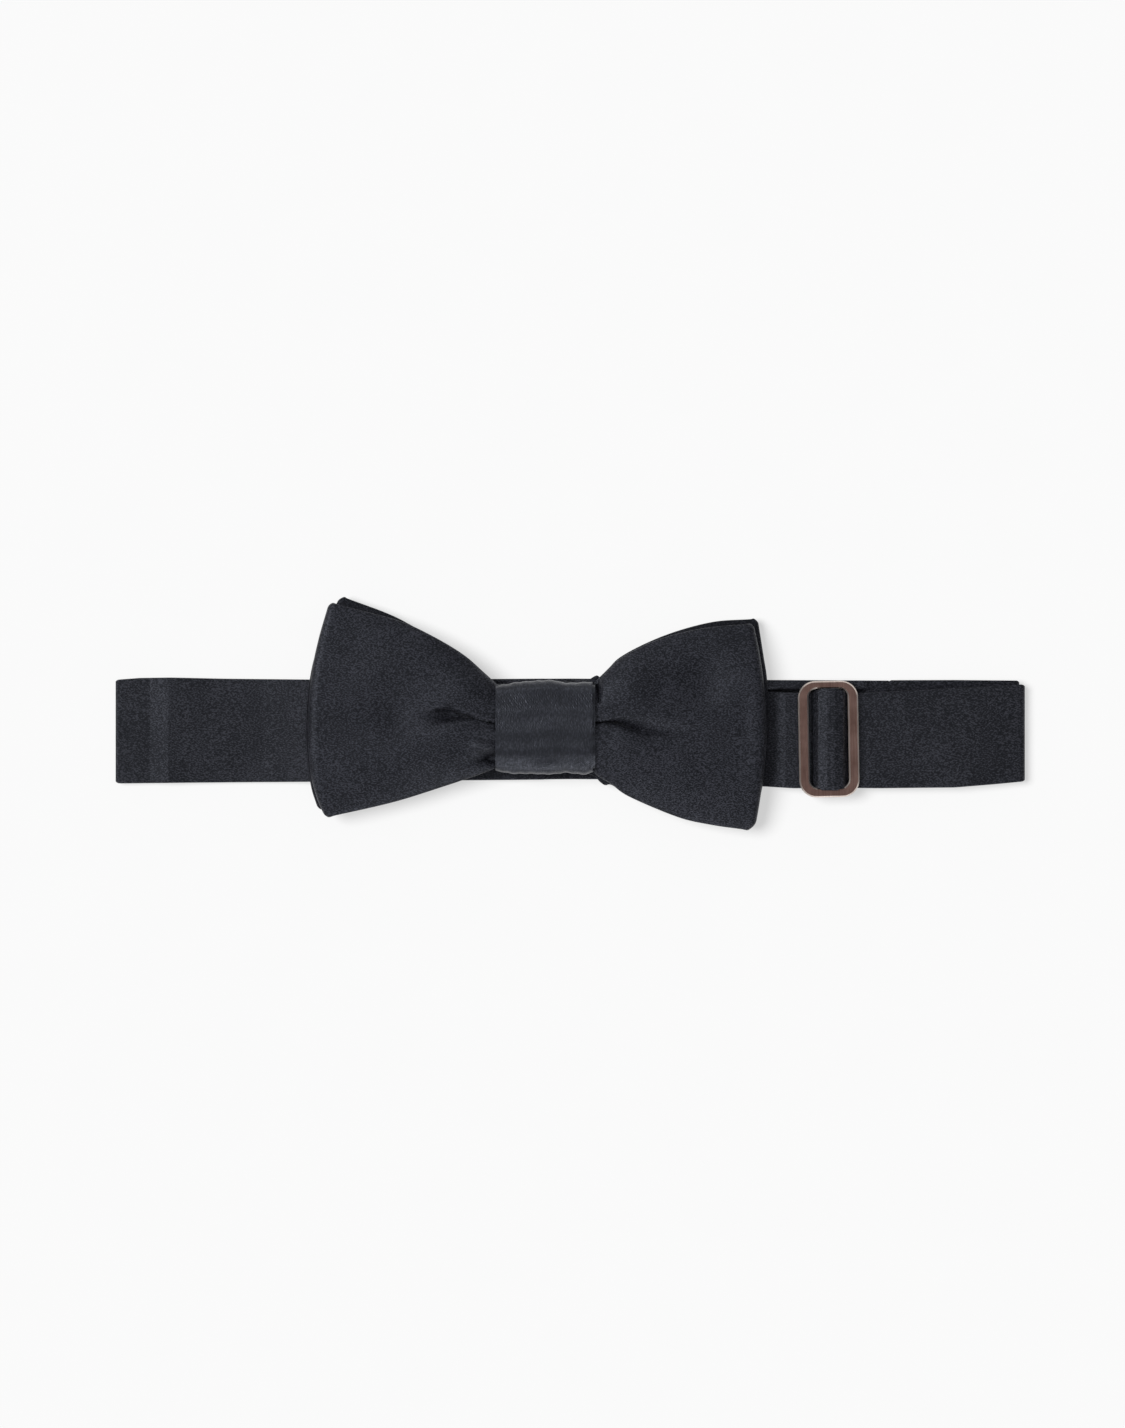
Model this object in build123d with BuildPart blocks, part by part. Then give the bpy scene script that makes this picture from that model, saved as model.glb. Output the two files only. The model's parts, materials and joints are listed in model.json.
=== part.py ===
from build123d import *
import os

# Pre-tied satin bow tie on a closed, adjustable neck band, lying flat with its face up.
# Millimetres. +X runs along the band towards the slider, +Y is the top of the bow, +Z is its face.
# The origin is under the middle of the bounding box, on the surface that the tie lies on.

# Neck band
HALF_LENGTH = 118.45  # folded band, from the middle to either fold
PLY = 0.6  # one pressed satin tube with its fused interlining
BAND_WIDTH = 26.2
BAND_MID_Y = -4.4
STRAP_WIDTH = 25.0
STRAP_MID_Y = -6.2
INNER_STRAP_WIDTH = 24.4
PLY_GAP = 0.2

# Heights of the ply centre lines
BACK_Z = PLY / 2
LEFT_FACE_Z = 2.2
TURNED_Z = 2.1
INNER_Z = 3.0
FACE_Z = 3.8

# Bow
PINCH_TOP_Y = 7.3
PINCH_BOTTOM_Y = -14.2
PINCH_LEFT_X = -20.5
PINCH_RIGHT_X = 6.5
BOW_HALF_HEIGHT = 30.3
SHELL_WALL = 0.8
LINING_INSET = 1.1
BOW_TOP_Z = 14.0

# Knot wrap round the pinched bow
KNOT_LEFT_X = -19.5
KNOT_RIGHT_X = 5.9
KNOT_TOP_Y = 8.6
KNOT_BOTTOM_Y = -15.5
KNOT_LOW_Z = 0.85
KNOT_HIGH_Z = 12.2
KNOT_CORNER = 1.6
TUCK_WIDTH = 18.0  # band and strap are pleated narrower inside the knot
WRAP_WALL = 0.45
WRAP_LINING_WALL = 0.35
WRAP_LINING_GAP = 0.05

# Slider
SLIDER_X = 67.1
SLIDER_Y = -6.5
SLIDER_LENGTH = 15.6
SLIDER_HEIGHT = 30.2
SLOT_LENGTH = 10.2
SLOT_HEIGHT = 26.2
SLIDER_TILT = 1.0
SLIDER_LOW_Z = 4.35
SLIDER_THICK = 1.4
BAR_WIDTH = 2.4
BAR_THICK = 1.0
SLIDER_OUTER_RADIUS = 4.5
SLIDER_SLOT_RADIUS = 2.2
METAL_EDGE = 0.3

# Hook and eye, hidden between the back plies
CLOSURE_Y = -6.0
CLOSURE_HEIGHT = 24.0
CLOSURE_END_BAR = 0.6
PINCHED_WIDTH = 22.4  # band and strap are gathered narrower where they go through the metal
CLOSURE_BAR = 1.6
CLOSURE_LOW_Z = 0.8
CLOSURE_THICK = 0.8
EYE_LEFT_X = 80.9
EYE_LENGTH = 8.0
HOOK_LEFT_X = 91.0
HOOK_LENGTH = 8.2
TONGUE_WIDTH = 9.0
CLOSURE_RADIUS = 1.2

# Where the moving spans of the strap begin and end
FIXED_SPAN_X = 20.0
BAND_END_X = 66.0
OVER_BAR_LEFT_X = 58.4
OVER_BAR_RIGHT_X = 75.8
SEWN_END_X = 78.0
HOOK_TURN_X = 100.6
RIGHT_FOLD_X = 112.0

os.makedirs("parts", exist_ok=True)


def save(builder, name):
    builder.part.label = name
    export_step(builder.part, f"parts/{name}.step")


def ribbon(points, radii, width, middle_y, thickness=PLY):
    """A flat ply whose edge follows points in the X-Z plane, with rounded bends."""
    with BuildPart() as made:
        with BuildSketch(Plane.XZ.offset(-middle_y)):
            with BuildLine():
                if radii:
                    FilletPolyline(*points, radius=radii)
                else:
                    Line(*points)
            trace(line_width=thickness)
        extrude(amount=width / 2, both=True)
    return made


def thread_row(x_values, y_values, z, length=1.6, width=0.35, height=0.12):
    """Short flat stitches, one solid each, lying along Y."""
    with BuildPart() as made:
        with BuildSketch(Plane.XY.offset(z)):
            with Locations(*[(x, y) for x in x_values for y in y_values]):
                SlotOverall(length, width, rotation=90)
        extrude(amount=height)
    return made


# --- The bow: two layers, each a satin shell with a stiff interlining inside ---


def pulled_in(point, inset, middle=(0.0, 0.0)):
    """A corner of an outline, moved towards the middle by a wall's thickness."""
    x, y = point
    return (x - inset * (1 if x > middle[0] else -1), y - 1.6 * inset * (1 if y > middle[1] else -1))


def bow_outline(corners, edges, bulges, inset):
    """Corners run from the top left clockwise, edges are points halfway along the long
    sides in the same order, and bulges are the furthest points of the right and left folds."""
    top_left, top_right, low_right, low_left = [pulled_in(point, inset) for point in corners]
    edges = [(x, y - 1.3 * inset * (1 if y > 0 else -1)) for x, y in edges]
    right, left = [(x - inset * (1 if x > 0 else -1), y) for x, y in bulges]
    pinch_top = PINCH_TOP_Y - inset
    pinch_low = PINCH_BOTTOM_Y + inset
    with BuildSketch() as outline:
        with BuildLine():
            Spline(top_left, edges[0], (PINCH_LEFT_X, pinch_top))
            Line((PINCH_LEFT_X, pinch_top), (PINCH_RIGHT_X, pinch_top))
            Spline((PINCH_RIGHT_X, pinch_top), edges[1], top_right)
            ThreePointArc(top_right, right, low_right)
            Spline(low_right, edges[2], (PINCH_RIGHT_X, pinch_low))
            Line((PINCH_RIGHT_X, pinch_low), (PINCH_LEFT_X, pinch_low))
            Spline((PINCH_LEFT_X, pinch_low), edges[3], low_left)
            ThreePointArc(low_left, left, top_left)
        make_face()
    return outline.sketch


def front_outline(inset):
    return bow_outline(
        corners=[(-62.3, 28.4), (47.6, 22.8), (45.7, -29.6), (-63.6, -26.5)],
        edges=[(-41.4, 22.9), (24.3, 19.2), (22.2, -23.6), (-41.0, -21.0)],
        bulges=[(50.9, -3.5), (-68.2, 0.5)],
        inset=inset,
    )


def back_outline(inset):
    return bow_outline(
        corners=[(-59.4, BOW_HALF_HEIGHT), (48.7, 24.3), (45.7, -BOW_HALF_HEIGHT), (-65.6, -25.0)],
        edges=[(-41.4, 22.6), (24.3, 20.2), (22.2, -24.4), (-41.0, -20.4)],
        bulges=[(52.0, -3.0), (-68.9, 2.0)],
        inset=inset,
    )


def bow_side(low, high, inset):
    """One layer seen from below, in X and Z. Each of low and high gives the height at the
    left end, the left wing's middle, the knot, the right wing's middle and the right end."""
    low = [z + inset for z in low]
    high = [z - inset for z in high]
    left, right = -70, 54
    with BuildSketch() as side:
        with BuildLine():
            Spline((left, high[0]), (-45, high[1]), (PINCH_LEFT_X, high[2]))
            Line((PINCH_LEFT_X, high[2]), (PINCH_RIGHT_X, high[2]))
            Spline((PINCH_RIGHT_X, high[2]), (30, high[3]), (right, high[4]))
            Line((right, high[4]), (right, low[4]))
            Spline((right, low[4]), (30, low[3]), (PINCH_RIGHT_X, low[2]))
            Line((PINCH_RIGHT_X, low[2]), (PINCH_LEFT_X, low[2]))
            Spline((PINCH_LEFT_X, low[2]), (-45, low[1]), (left, low[0]))
            Line((left, low[0]), (left, high[0]))
        make_face()
    return side.sketch


def front_side(inset):
    return bow_side([5.9, 6.4, 6.7, 6.4, 5.9], [8.6, 11.4, 11.0, 11.4, 8.8], inset)


def back_side(inset):
    return bow_side([2.9, 2.9, 2.9, 3.1, 3.2], [5.6, 6.1, 6.4, 6.1, 5.6], inset)


def bow_body(outline, side):
    """The solid that fills both the plan outline and the side outline."""
    with BuildPart() as side_block:
        with BuildSketch(Plane.XZ.offset(-2 * BOW_HALF_HEIGHT)):
            add(side)
        extrude(amount=4 * BOW_HALF_HEIGHT)
    with BuildPart() as made:
        with BuildSketch():
            add(outline)
        extrude(amount=BOW_TOP_Z)
        add(side_block.part, mode=Mode.INTERSECT)
    return made.part


front_hollow = bow_body(front_outline(SHELL_WALL), front_side(SHELL_WALL))
with BuildPart() as front_bow_shell:
    add(bow_body(front_outline(0), front_side(0)))
    add(front_hollow, mode=Mode.SUBTRACT)
save(front_bow_shell, "front_bow_shell")

with BuildPart() as front_bow_interlining:
    add(bow_body(front_outline(LINING_INSET), front_side(LINING_INSET)))
save(front_bow_interlining, "front_bow_interlining")

back_hollow = bow_body(back_outline(SHELL_WALL), back_side(SHELL_WALL))
with BuildPart() as back_bow_shell:
    add(bow_body(back_outline(0), back_side(0)))
    add(back_hollow, mode=Mode.SUBTRACT)
save(back_bow_shell, "back_bow_shell")

with BuildPart() as back_bow_interlining:
    add(bow_body(back_outline(LINING_INSET), back_side(LINING_INSET)))
save(back_bow_interlining, "back_bow_interlining")


# --- The knot: a pleated satin strip with its interlining, wrapped round the pinch ---


def knot_ring(inset, wall):
    height = KNOT_TOP_Y - KNOT_BOTTOM_Y - 2 * inset
    depth = KNOT_HIGH_Z - KNOT_LOW_Z - 2 * inset
    corner = KNOT_CORNER - inset
    section = Plane(
        origin=(KNOT_LEFT_X, (KNOT_TOP_Y + KNOT_BOTTOM_Y) / 2, (KNOT_LOW_Z + KNOT_HIGH_Z) / 2),
        x_dir=(0, 1, 0),
        z_dir=(1, 0, 0),
    )
    with BuildPart() as made:
        with BuildSketch(section):
            RectangleRounded(height, depth, corner)
            RectangleRounded(height - 2 * wall, depth - 2 * wall, corner - wall, mode=Mode.SUBTRACT)
        extrude(amount=KNOT_RIGHT_X - KNOT_LEFT_X)
    return made


knot_wrap = knot_ring(0, WRAP_WALL)
save(knot_wrap, "knot_wrap")

knot_wrap_interlining = knot_ring(WRAP_WALL + WRAP_LINING_GAP, WRAP_LINING_WALL)
save(knot_wrap_interlining, "knot_wrap_interlining")

seam_x = (KNOT_LEFT_X + KNOT_RIGHT_X) / 2
knot_back_stitches = thread_row(
    x_values=[seam_x - 9, seam_x - 4.5, seam_x, seam_x + 4.5, seam_x + 9],
    y_values=[BAND_MID_Y],
    z=KNOT_LOW_Z - 0.12,
)
save(knot_back_stitches, "knot_back_stitches")


# --- The fixed band: out of the knot, round the left fold, and back under the bow ---

left_center_x = -HALF_LENGTH + PLY / 2
band_loop = ribbon(
    points=[
        (KNOT_LEFT_X - 1.0, LEFT_FACE_Z),
        (left_center_x, LEFT_FACE_Z),
        (left_center_x, BACK_Z),
        (FIXED_SPAN_X, BACK_Z),
    ],
    radii=0.9,
    width=BAND_WIDTH,
    middle_y=BAND_MID_Y,
)
band_tuck = ribbon(
    points=[(KNOT_LEFT_X - 1.5, LEFT_FACE_Z), (seam_x, LEFT_FACE_Z)],
    radii=None,
    width=TUCK_WIDTH,
    middle_y=BAND_MID_Y,
)
with BuildPart() as fixed_band:
    add(band_loop.part)
    add(band_tuck.part)
save(fixed_band, "fixed_band")

fixed_band_span = ribbon(
    points=[(FIXED_SPAN_X + PLY_GAP, BACK_Z), (BAND_END_X, BACK_Z)],
    radii=None,
    width=BAND_WIDTH,
    middle_y=BAND_MID_Y,
)
save(fixed_band_span, "fixed_band_span")

eye_bar_right = EYE_LEFT_X + CLOSURE_BAR
band_turn = ribbon(
    points=[
        (BAND_END_X + PLY_GAP, BACK_Z),
        (eye_bar_right + PLY_GAP + PLY / 2, BACK_Z),
        (eye_bar_right + PLY_GAP + PLY / 2, TURNED_Z),
        (BAND_END_X + 5, TURNED_Z),
    ],
    radii=0.85,
    width=PINCHED_WIDTH,
    middle_y=CLOSURE_Y,
)
band_end_low = ribbon(
    points=[(BAND_END_X + PLY_GAP, BACK_Z), (EYE_LEFT_X - 0.4, BACK_Z)],
    radii=None,
    width=BAND_WIDTH,
    middle_y=BAND_MID_Y,
)
band_end_flap = ribbon(
    points=[(BAND_END_X + 5, TURNED_Z), (EYE_LEFT_X - 0.4, TURNED_Z)],
    radii=None,
    width=BAND_WIDTH,
    middle_y=BAND_MID_Y,
)
with BuildPart() as fixed_band_end:
    add(band_turn.part)
    add(band_end_low.part)
    add(band_end_flap.part)
save(fixed_band_end, "fixed_band_end")

band_end_stitches = thread_row(
    x_values=[EYE_LEFT_X - 1.2],
    y_values=[BAND_MID_Y + 2.6 * step for step in range(-4, 5)],
    z=TURNED_Z + PLY / 2,
)
save(band_end_stitches, "band_end_stitches")


# --- The hook and its eye ---

with BuildPart() as eye_ring:
    with BuildSketch(Plane.XY.offset(CLOSURE_LOW_Z)):
        with Locations((EYE_LEFT_X + EYE_LENGTH / 2, CLOSURE_Y)):
            RectangleRounded(EYE_LENGTH, CLOSURE_HEIGHT, CLOSURE_RADIUS)
            RectangleRounded(
                EYE_LENGTH - 2 * CLOSURE_BAR,
                CLOSURE_HEIGHT - 2 * CLOSURE_END_BAR,
                CLOSURE_RADIUS / 4,
                mode=Mode.SUBTRACT,
            )
    extrude(amount=CLOSURE_THICK)
save(eye_ring, "eye_ring")

tongue_path = [
    (HOOK_LEFT_X + CLOSURE_BAR, CLOSURE_LOW_Z + CLOSURE_THICK / 2),
    (HOOK_LEFT_X + 0.2, CLOSURE_LOW_Z + CLOSURE_THICK / 2),
    (HOOK_LEFT_X - 0.35, TURNED_Z),
    (EYE_LEFT_X + EYE_LENGTH - CLOSURE_BAR - 0.9, TURNED_Z),
    (EYE_LEFT_X + EYE_LENGTH - CLOSURE_BAR - 0.9, CLOSURE_LOW_Z + 0.2),
]
with BuildPart() as hook:
    with BuildSketch(Plane.XY.offset(CLOSURE_LOW_Z)):
        with Locations((HOOK_LEFT_X + HOOK_LENGTH / 2, CLOSURE_Y)):
            RectangleRounded(HOOK_LENGTH, CLOSURE_HEIGHT, CLOSURE_RADIUS)
            RectangleRounded(
                HOOK_LENGTH - 2 * CLOSURE_BAR,
                CLOSURE_HEIGHT - 2 * CLOSURE_END_BAR,
                CLOSURE_RADIUS / 4,
                mode=Mode.SUBTRACT,
            )
    extrude(amount=CLOSURE_THICK)
    with BuildSketch(Plane.XZ.offset(-CLOSURE_Y)):
        with BuildLine():
            FilletPolyline(*tongue_path, radius=0.25)
        trace(line_width=0.5)
    extrude(amount=TONGUE_WIDTH / 2, both=True)
save(hook, "hook")


# --- The adjustable strap, from the knot over the slider to the hook and back to the slider ---

strap_tuck = ribbon(
    points=[(seam_x + PLY_GAP, LEFT_FACE_Z), (KNOT_RIGHT_X + 1.5, LEFT_FACE_Z)],
    radii=None,
    width=TUCK_WIDTH,
    middle_y=BAND_MID_Y,
)
strap_root = ribbon(
    points=[(KNOT_RIGHT_X + 1.0, LEFT_FACE_Z), (FIXED_SPAN_X, LEFT_FACE_Z)],
    radii=None,
    width=STRAP_WIDTH,
    middle_y=STRAP_MID_Y + 0.9,
)
with BuildPart() as strap_start:
    add(strap_tuck.part)
    add(strap_root.part)
save(strap_start, "strap_start")

strap_front_span = ribbon(
    points=[
        (FIXED_SPAN_X + PLY_GAP, LEFT_FACE_Z),
        (50.0, LEFT_FACE_Z),
        (56.0, FACE_Z),
        (OVER_BAR_LEFT_X - PLY_GAP, FACE_Z),
    ],
    radii=1.0,
    width=STRAP_WIDTH,
    middle_y=STRAP_MID_Y,
)
save(strap_front_span, "strap_front_span")

arch_z = SLIDER_LOW_Z + BAR_THICK + 1.0
strap_over_bar = ribbon(
    points=[
        (OVER_BAR_LEFT_X, FACE_Z),
        (SLIDER_X - 4.5, FACE_Z),
        (SLIDER_X - 2.2, arch_z),
        (SLIDER_X + 2.2, arch_z),
        (SLIDER_X + 4.5, FACE_Z),
        (OVER_BAR_RIGHT_X, FACE_Z),
    ],
    radii=0.8,
    width=STRAP_WIDTH,
    middle_y=STRAP_MID_Y,
)
save(strap_over_bar, "strap_over_bar")

strap_face_span = ribbon(
    points=[(OVER_BAR_RIGHT_X + PLY_GAP, FACE_Z), (RIGHT_FOLD_X, FACE_Z)],
    radii=None,
    width=STRAP_WIDTH,
    middle_y=STRAP_MID_Y + 0.4,
)
save(strap_face_span, "strap_face_span")

right_center_x = HALF_LENGTH - PLY / 2
strap_right_fold = ribbon(
    points=[
        (RIGHT_FOLD_X + PLY_GAP, FACE_Z),
        (right_center_x, FACE_Z),
        (right_center_x, BACK_Z),
        (RIGHT_FOLD_X + PLY_GAP, BACK_Z),
    ],
    radii=1.7,
    width=STRAP_WIDTH,
    middle_y=STRAP_MID_Y + 0.9,
)
save(strap_right_fold, "strap_right_fold")

strap_inner_fold = ribbon(
    points=[
        (RIGHT_FOLD_X + PLY_GAP, INNER_Z),
        (right_center_x - 1.2, INNER_Z),
        (right_center_x - 1.2, TURNED_Z),
        (RIGHT_FOLD_X + PLY_GAP, TURNED_Z),
    ],
    radii=0.42,
    width=INNER_STRAP_WIDTH,
    middle_y=BAND_MID_Y,
)
save(strap_inner_fold, "strap_inner_fold")

strap_back_span = ribbon(
    points=[(HOOK_TURN_X + PLY_GAP, BACK_Z), (RIGHT_FOLD_X, BACK_Z)],
    radii=None,
    width=STRAP_WIDTH,
    middle_y=BAND_MID_Y,
)
save(strap_back_span, "strap_back_span")

hook_bar_left = HOOK_LEFT_X + HOOK_LENGTH - CLOSURE_BAR
strap_hook_turn = ribbon(
    points=[
        (HOOK_TURN_X, BACK_Z),
        (hook_bar_left - PLY_GAP - PLY / 2, BACK_Z),
        (hook_bar_left - PLY_GAP - PLY / 2, TURNED_Z),
        (HOOK_TURN_X, TURNED_Z),
    ],
    radii=0.85,
    width=PINCHED_WIDTH,
    middle_y=CLOSURE_Y,
)
save(strap_hook_turn, "strap_hook_turn")

strap_inner_back_span = ribbon(
    points=[(HOOK_TURN_X + PLY_GAP, TURNED_Z), (RIGHT_FOLD_X, TURNED_Z)],
    radii=None,
    width=INNER_STRAP_WIDTH,
    middle_y=BAND_MID_Y,
)
save(strap_inner_back_span, "strap_inner_back_span")

strap_inner_face_span = ribbon(
    points=[(SEWN_END_X + PLY_GAP, INNER_Z), (RIGHT_FOLD_X, INNER_Z)],
    radii=None,
    width=INNER_STRAP_WIDTH,
    middle_y=BAND_MID_Y,
)
save(strap_inner_face_span, "strap_inner_face_span")

# The strap's free end is sewn into a loop round the slider's centre bar.
loop_half = BAR_WIDTH / 2 + 0.6
loop_low = SLIDER_LOW_Z - 0.35
loop_high = SLIDER_LOW_Z + BAR_THICK + 0.35
strap_sewn_end = ribbon(
    points=[
        (SEWN_END_X, INNER_Z),
        (SLIDER_X + 4.2, INNER_Z),
        (SLIDER_X + loop_half, loop_low),
        (SLIDER_X - loop_half, loop_low),
        (SLIDER_X - loop_half, loop_high),
        (SLIDER_X + loop_half, loop_high),
        (SLIDER_X + loop_half, loop_low + 0.6),
    ],
    radii=0.3,
    width=INNER_STRAP_WIDTH,
    middle_y=STRAP_MID_Y,
    thickness=0.4,
)
save(strap_sewn_end, "strap_sewn_end")

sewn_end_stitches = thread_row(
    x_values=[SEWN_END_X - 1.2],
    y_values=[STRAP_MID_Y + 2.6 * step for step in range(-4, 5)],
    z=INNER_Z + 0.2,
)
save(sewn_end_stitches, "sewn_end_stitches")


# --- The slider: a rectangular frame with a centre bar under the strap ---

slider_plane = Plane(origin=(SLIDER_X, SLIDER_Y, SLIDER_LOW_Z)).rotated((0, 0, SLIDER_TILT))
with BuildPart() as slider:
    with BuildSketch(slider_plane):
        RectangleRounded(SLIDER_LENGTH, SLIDER_HEIGHT, SLIDER_OUTER_RADIUS)
        RectangleRounded(SLOT_LENGTH, SLOT_HEIGHT, SLIDER_SLOT_RADIUS, mode=Mode.SUBTRACT)
    extrude(amount=SLIDER_THICK)
    rims = slider.faces().sort_by(Axis.Z)[-1].edges() + slider.faces().sort_by(Axis.Z)[0].edges()
    chamfer(rims, length=METAL_EDGE)
    with BuildSketch(slider_plane):
        Rectangle(BAR_WIDTH, SLOT_HEIGHT + 1.0)
    extrude(amount=BAR_THICK)
save(slider, "slider")
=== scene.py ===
"""Looks of a ready-tied satin bow tie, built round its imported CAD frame. Metres, in the frame's axes."""

import json
import math

import bpy
import numpy as np
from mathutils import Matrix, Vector

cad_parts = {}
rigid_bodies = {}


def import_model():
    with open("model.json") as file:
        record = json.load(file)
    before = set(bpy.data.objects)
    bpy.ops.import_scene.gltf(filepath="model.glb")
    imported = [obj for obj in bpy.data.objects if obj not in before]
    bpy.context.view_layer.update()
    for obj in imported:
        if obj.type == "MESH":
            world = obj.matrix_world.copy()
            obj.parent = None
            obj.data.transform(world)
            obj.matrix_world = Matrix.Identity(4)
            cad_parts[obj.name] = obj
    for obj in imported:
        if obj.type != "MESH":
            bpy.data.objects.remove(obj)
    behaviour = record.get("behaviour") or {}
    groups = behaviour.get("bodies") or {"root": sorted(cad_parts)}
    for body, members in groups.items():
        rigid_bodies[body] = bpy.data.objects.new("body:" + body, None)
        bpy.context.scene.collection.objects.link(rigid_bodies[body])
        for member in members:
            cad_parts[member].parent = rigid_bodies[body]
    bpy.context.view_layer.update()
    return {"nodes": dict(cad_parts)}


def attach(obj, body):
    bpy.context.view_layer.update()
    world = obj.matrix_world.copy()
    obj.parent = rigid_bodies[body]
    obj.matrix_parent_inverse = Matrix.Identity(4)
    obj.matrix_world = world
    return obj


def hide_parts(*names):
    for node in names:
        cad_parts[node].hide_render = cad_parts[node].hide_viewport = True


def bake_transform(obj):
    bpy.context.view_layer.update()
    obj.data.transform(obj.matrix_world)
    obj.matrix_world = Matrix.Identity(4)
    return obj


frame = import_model()

MM = 0.001

# Heights of the ply centre lines, in millimetres, as in the CAD model
PLY = 0.6
BACK_Z = 0.3
LEFT_FACE_Z = 2.2
TURNED_Z = 2.1
INNER_Z = 3.0
FACE_Z = 3.8
HALF_LENGTH = 118.45
SLIDER_X = 67.1
SLIDER_LOW_Z = 4.35
KNOT_LEFT_X = -19.5
KNOT_RIGHT_X = 5.9


# ---------------------------------------------------------------- helpers


def smooth(t):
    t = np.clip(t, 0, 1)
    return t * t * (3 - 2 * t)


def rise(value, start, stop):
    """A smooth change from 0 where value is at start to 1 where it is at stop."""
    return smooth((value - start) / (stop - start))


def curve_through(points, count):
    """A smooth curve through points, evenly spaced along its length."""
    points = np.array(points, float)
    ends = [2 * points[0] - points[1], *points, 2 * points[-1] - points[-2]]
    ends = np.array(ends)
    fine = []
    for a, b, c, d in zip(ends, ends[1:], ends[2:], ends[3:]):
        t = np.linspace(0, 1, 24, endpoint=False)[:, None]
        fine.append(0.5 * (2 * b + (c - a) * t + (2 * a - 5 * b + 4 * c - d) * t**2
                           + (3 * b - a - 3 * c + d) * t**3))
    fine = np.vstack([*fine, points[-1:]])
    length = np.concatenate([[0], np.cumsum(np.linalg.norm(np.diff(fine, axis=0), axis=1))])
    even = np.linspace(0, length[-1], count)
    return np.stack([np.interp(even, length, fine[:, k]) for k in range(points.shape[1])], axis=1)


def rounded_path(points, radius, step=0.6):
    """Straight runs joined by arcs of a radius, sampled about every step."""
    points = np.array(points, float)
    samples = [points[0]]
    for a, b, c in zip(points, points[1:], points[2:]):
        back, ahead = (a - b) / np.linalg.norm(a - b), (c - b) / np.linalg.norm(c - b)
        half_turn = math.acos(np.clip(back @ ahead, -1, 1)) / 2
        reach = radius / math.tan(half_turn)
        start, stop = b + back * reach, b + ahead * reach
        middle = b + (back + ahead) / np.linalg.norm(back + ahead) * radius / math.sin(half_turn)
        sweep = math.pi - 2 * half_turn
        turn = np.sign(back[0] * ahead[1] - back[1] * ahead[0])
        pieces = max(4, int(sweep / 0.22))
        first = start - middle
        for k in range(pieces + 1):
            angle = -turn * sweep * k / pieces
            spin = np.array([[math.cos(angle), -math.sin(angle)], [math.sin(angle), math.cos(angle)]])
            samples.append(middle + spin @ first)
    samples.append(points[-1])
    samples = np.array(samples)
    out = [samples[0]]
    for a, b in zip(samples, samples[1:]):
        parts = max(1, int(np.linalg.norm(b - a) / step))
        out.extend(a + (b - a) * (k / parts) for k in range(1, parts + 1))
    return np.array(out)


def unit(v):
    return v / np.maximum(np.linalg.norm(v, axis=-1, keepdims=True), 1e-9)


def new_piece(name, vertices, faces, material, sharp_angle=50):
    mesh = bpy.data.meshes.new(name)
    mesh.from_pydata((np.asarray(vertices) * MM).tolist(), [], faces)
    mesh.validate()
    mesh.shade_smooth()
    mesh.set_sharp_from_angle(angle=math.radians(sharp_angle))
    mesh.materials.append(material)
    piece = bpy.data.objects.new(name, mesh)
    bpy.context.scene.collection.objects.link(piece)
    return piece


def thick_sheet(name, grid, thickness, material, loop=False, edge_steps=3):
    """A closed sheet of cloth round the surface of a grid (rows, columns, 3).
    Its side edges are rolled over edge_steps, or square without them.
    The rows close on themselves if loop is true. Otherwise the first and last rows are cut ends."""
    rows, columns = grid.shape[:2]
    if loop:
        row_way = np.roll(grid, -1, 0) - np.roll(grid, 1, 0)
    else:
        row_way = np.gradient(grid, axis=0)
    column_way = np.gradient(grid, axis=1)
    normal = unit(np.cross(row_way, column_way))
    half = thickness / 2
    outward_low, outward_high = unit(-column_way[:, 0]), unit(column_way[:, -1])
    ring = [grid[:, j] + half * normal[:, j] for j in range(columns)]
    for k in range(1, edge_steps + 1):
        a = math.pi * k / (edge_steps + 1)
        ring.append(grid[:, -1] + half * (math.cos(a) * normal[:, -1] + math.sin(a) * outward_high))
    ring += [grid[:, j] - half * normal[:, j] for j in range(columns - 1, -1, -1)]
    for k in range(1, edge_steps + 1):
        a = math.pi * (1 - k / (edge_steps + 1))
        ring.append(grid[:, 0] + half * (math.cos(a) * normal[:, 0] + math.sin(a) * outward_low))
    ring = np.stack(ring, axis=1)
    size = ring.shape[1]
    faces = []
    for i in range(rows if loop else rows - 1):
        a, b = i * size, ((i + 1) % rows) * size
        for j in range(size):
            k = (j + 1) % size
            faces.append((a + j, a + k, b + k, b + j))
    if not loop:
        for base, flip in ((0, True), ((rows - 1) * size, False)):
            low = [base + columns + edge_steps + (columns - 1 - j) for j in range(columns)]
            high = [base + j for j in range(columns)]
            ends = [(high[j], high[j + 1], low[j + 1], low[j]) for j in range(columns - 1)]
            ends.append(tuple(range(base + columns - 1, base + columns + edge_steps + 1)))
            ends.append((base, low[0], *range(base + 2 * columns + edge_steps, base + size)))
            faces += [tuple(reversed(f)) for f in ends] if flip else ends
    return new_piece(name, ring.reshape(-1, 3), faces, material)


def ripple(x, y, seed, size=9.0):
    """Gentle unevenness of pressed cloth, between about -1 and 1, from a few crossed waves."""
    draw = np.random.default_rng(seed)
    total = np.zeros(np.broadcast(x, y).shape)
    for _ in range(7):
        angle, phase = draw.uniform(0, math.pi), draw.uniform(0, 2 * math.pi)
        wave = size * draw.uniform(0.7, 1.9)
        total += np.sin((x * math.cos(angle) + y * math.sin(angle)) * 2 * math.pi / wave + phase)
    return total / 4


def dense_at_ends(count, share=0.7):
    """Values from 0 to 1, closer together at both ends."""
    even = np.linspace(0, 1, count)
    return share * (1 - np.cos(math.pi * even)) / 2 + (1 - share) * even


def along(x, points):
    """A value for each x, from a smooth curve through (x, value) points given in order of x."""
    curve = curve_through(points, 12 * len(points))
    return np.interp(x, curve[:, 0], curve[:, 1])


RIBBON_COLUMNS = 40
STEEPEST_FLAT = 0.3  # the least share of a step along X where a ribbon still counts as flat
FLOOR_GAP = 0.01


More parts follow.
